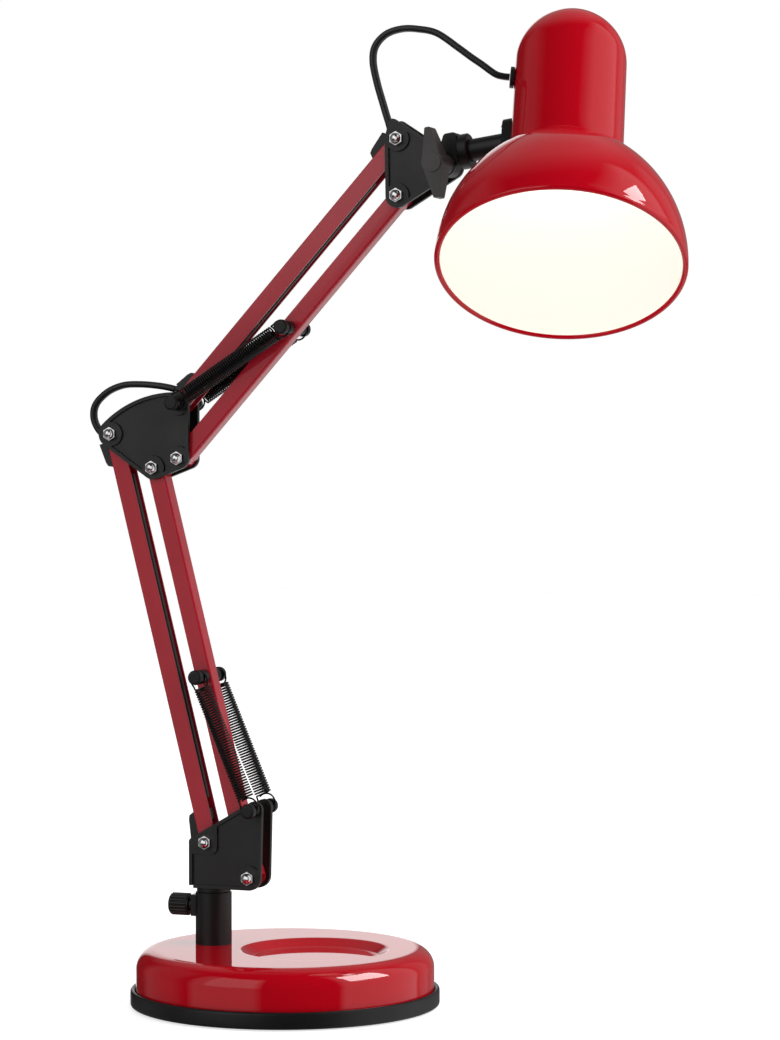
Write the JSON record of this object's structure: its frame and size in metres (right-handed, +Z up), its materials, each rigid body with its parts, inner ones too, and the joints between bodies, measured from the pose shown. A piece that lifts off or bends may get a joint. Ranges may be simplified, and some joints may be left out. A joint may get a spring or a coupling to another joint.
{
  "type": "architect lamp",
  "caption": "Desk lamp with a bell shade on a sprung double-parallelogram swing arm, standing on a round weighted base with a dish.",
  "frame": {"origin": "middle of the round base, on the surface that it stands on", "axes": "+Z up, +X from the base towards the head in the plane of the arm, +Y to the far side of the arm"},
  "size_m": [0.3948, 0.2093, 0.6064],
  "materials": {
    "gloss_red": "gloss",
    "satin_red": "satin",
    "black_plastic": "fine grain",
    "black_steel": "blackened, semi-gloss",
    "chrome": "polished",
    "steel": "zinc plated",
    "iron": "as cast",
    "black_rubber": "smooth",
    "opal_glass": "opal"
  },
  "bodies": {
    "base": {"base_tray": "black_plastic", "foot_pad": "black_rubber", "ballast": "iron", "base_cover": "gloss_red", "post": "black_steel", "post_washer": "steel", "post_nut": "steel", "tray_screws": "steel", "lead_grommet": "black_rubber"},
    "thumb": {"thumb_screw": "steel", "thumb_knob": "black_plastic"},
    "bracket": {"swivel_spigot": "black_steel", "lower_bracket_near": "black_plastic", "lower_bracket_far": "black_plastic", "lower_pivot_bolts": "steel", "lower_pivot_nuts": "chrome", "lower_pivot_sleeves": "steel", "bracket_spring_posts": "black_steel", "lead_cord": "black_rubber"},
    "lower_rear": {"lower_rear_bar": "satin_red", "lower_cord_guides": "black_plastic", "lower_cord": "black_rubber"},
    "lower_front": {"lower_front_bar": "satin_red", "lower_spring_pin": "black_steel", "lower_spring_near": "black_steel", "lower_spring_far": "black_steel"},
    "elbow": {"elbow_plate_near": "black_plastic", "elbow_plate_far": "black_plastic", "elbow_pivot_bolts": "steel", "elbow_pivot_nuts": "chrome", "elbow_pivot_sleeves": "steel", "elbow_spring_pin": "black_steel", "elbow_cord": "black_rubber"},
    "upper_top": {"upper_top_bar": "satin_red", "upper_cord_guides": "black_plastic", "upper_cord": "black_rubber"},
    "upper_bottom": {"upper_bottom_bar": "satin_red", "upper_spring_pin": "black_steel", "upper_spring_near": "black_steel", "upper_spring_far": "black_steel"},
    "head_bracket": {"head_plate_near": "black_plastic", "head_plate_far": "black_plastic", "head_pivot_bolts": "steel", "head_pivot_nuts": "chrome", "head_pivot_sleeves": "steel", "tilt_bolt": "steel", "tilt_nut": "chrome", "head_cord": "black_rubber"},
    "wing": {"wing_nut": "black_plastic"},
    "knuckle": {"knuckle": "black_plastic", "collar_screw": "steel"},
    "lamp_head": {"stem_pin": "steel", "stem": "black_plastic", "foot_screws": "chrome", "shade": "gloss_red", "neck_grommet": "black_rubber", "holder_bracket": "steel", "lampholder": "black_plastic", "bulb_cap": "steel", "bulb_glass": "opal_glass"}
  },
  "joints": [
    {"name": "base_swivel", "type": "hinge", "parent": "base", "child": "bracket", "pos_m": [-0.0476, 0, 0.0675], "axis": [0, 0, 1], "range_deg": [-170, 170]},
    {"name": "thumb_turn", "type": "hinge", "parent": "base", "child": "thumb", "pos_m": [-0.0676, 0, 0.0588], "axis": [-1, 0, 0], "continuous": true},
    {"name": "lower_arm_swing", "type": "hinge", "parent": "bracket", "child": "lower_rear", "pos_m": [-0.049, 0, 0.099], "axis": [0, -1, 0], "range_deg": [-70, 10], "deforming": ["lead_cord", "elbow_cord", "lower_spring_near", "lower_spring_far"]},
    {"name": "lower_front_swing", "type": "hinge", "parent": "bracket", "child": "lower_front", "pos_m": [-0.02062, 0, 0.078], "axis": [0, -1, 0], "range_deg": [-70, 10], "deforming": ["lower_spring_near", "lower_spring_far"]},
    {"name": "elbow_level", "type": "hinge", "parent": "lower_rear", "child": "elbow", "pos_m": [-0.11278, 0, 0.35106], "axis": [0, -1, 0], "range_deg": [-10, 70], "deforming": ["elbow_cord"]},
    {"name": "upper_arm_swing", "type": "hinge", "parent": "elbow", "child": "upper_top", "pos_m": [-0.06738, 0, 0.36986], "axis": [0, -1, 0], "range_deg": [-78, 18], "deforming": ["elbow_cord", "head_cord", "upper_spring_near", "upper_spring_far"]},
    {"name": "upper_bottom_swing", "type": "hinge", "parent": "elbow", "child": "upper_bottom", "pos_m": [-0.06738, 0, 0.33586], "axis": [0, -1, 0], "range_deg": [-78, 18], "deforming": ["upper_spring_near", "upper_spring_far"]},
    {"name": "head_level", "type": "hinge", "parent": "upper_top", "child": "head_bracket", "pos_m": [0.07603, 0, 0.52802], "axis": [0, -1, 0], "range_deg": [-18, 78], "deforming": ["head_cord"]},
    {"name": "wing_turn", "type": "hinge", "parent": "head_bracket", "child": "wing", "pos_m": [0.10563, 0, 0.51102], "axis": [0, -1, 0], "continuous": true},
    {"name": "head_tilt", "type": "hinge", "parent": "head_bracket", "child": "knuckle", "pos_m": [0.10563, 0, 0.51102], "axis": [0, -1, 0], "range_deg": [-55, 40], "deforming": ["head_cord"]},
    {"name": "head_turn", "type": "hinge", "parent": "knuckle", "child": "lamp_head", "pos_m": [0.10463, 0, 0.51815], "axis": [0.9903, 0, 0.1392], "range_deg": [-57, 122], "deforming": ["head_cord"]}
  ],
  "couplings": [
    {"joint": "lower_front_swing", "follows": "lower_arm_swing", "ratio": 1},
    {"joint": "elbow_level", "follows": "lower_arm_swing", "ratio": -1},
    {"joint": "upper_bottom_swing", "follows": "upper_arm_swing", "ratio": 1},
    {"joint": "head_level", "follows": "upper_arm_swing", "ratio": -1}
  ]
}
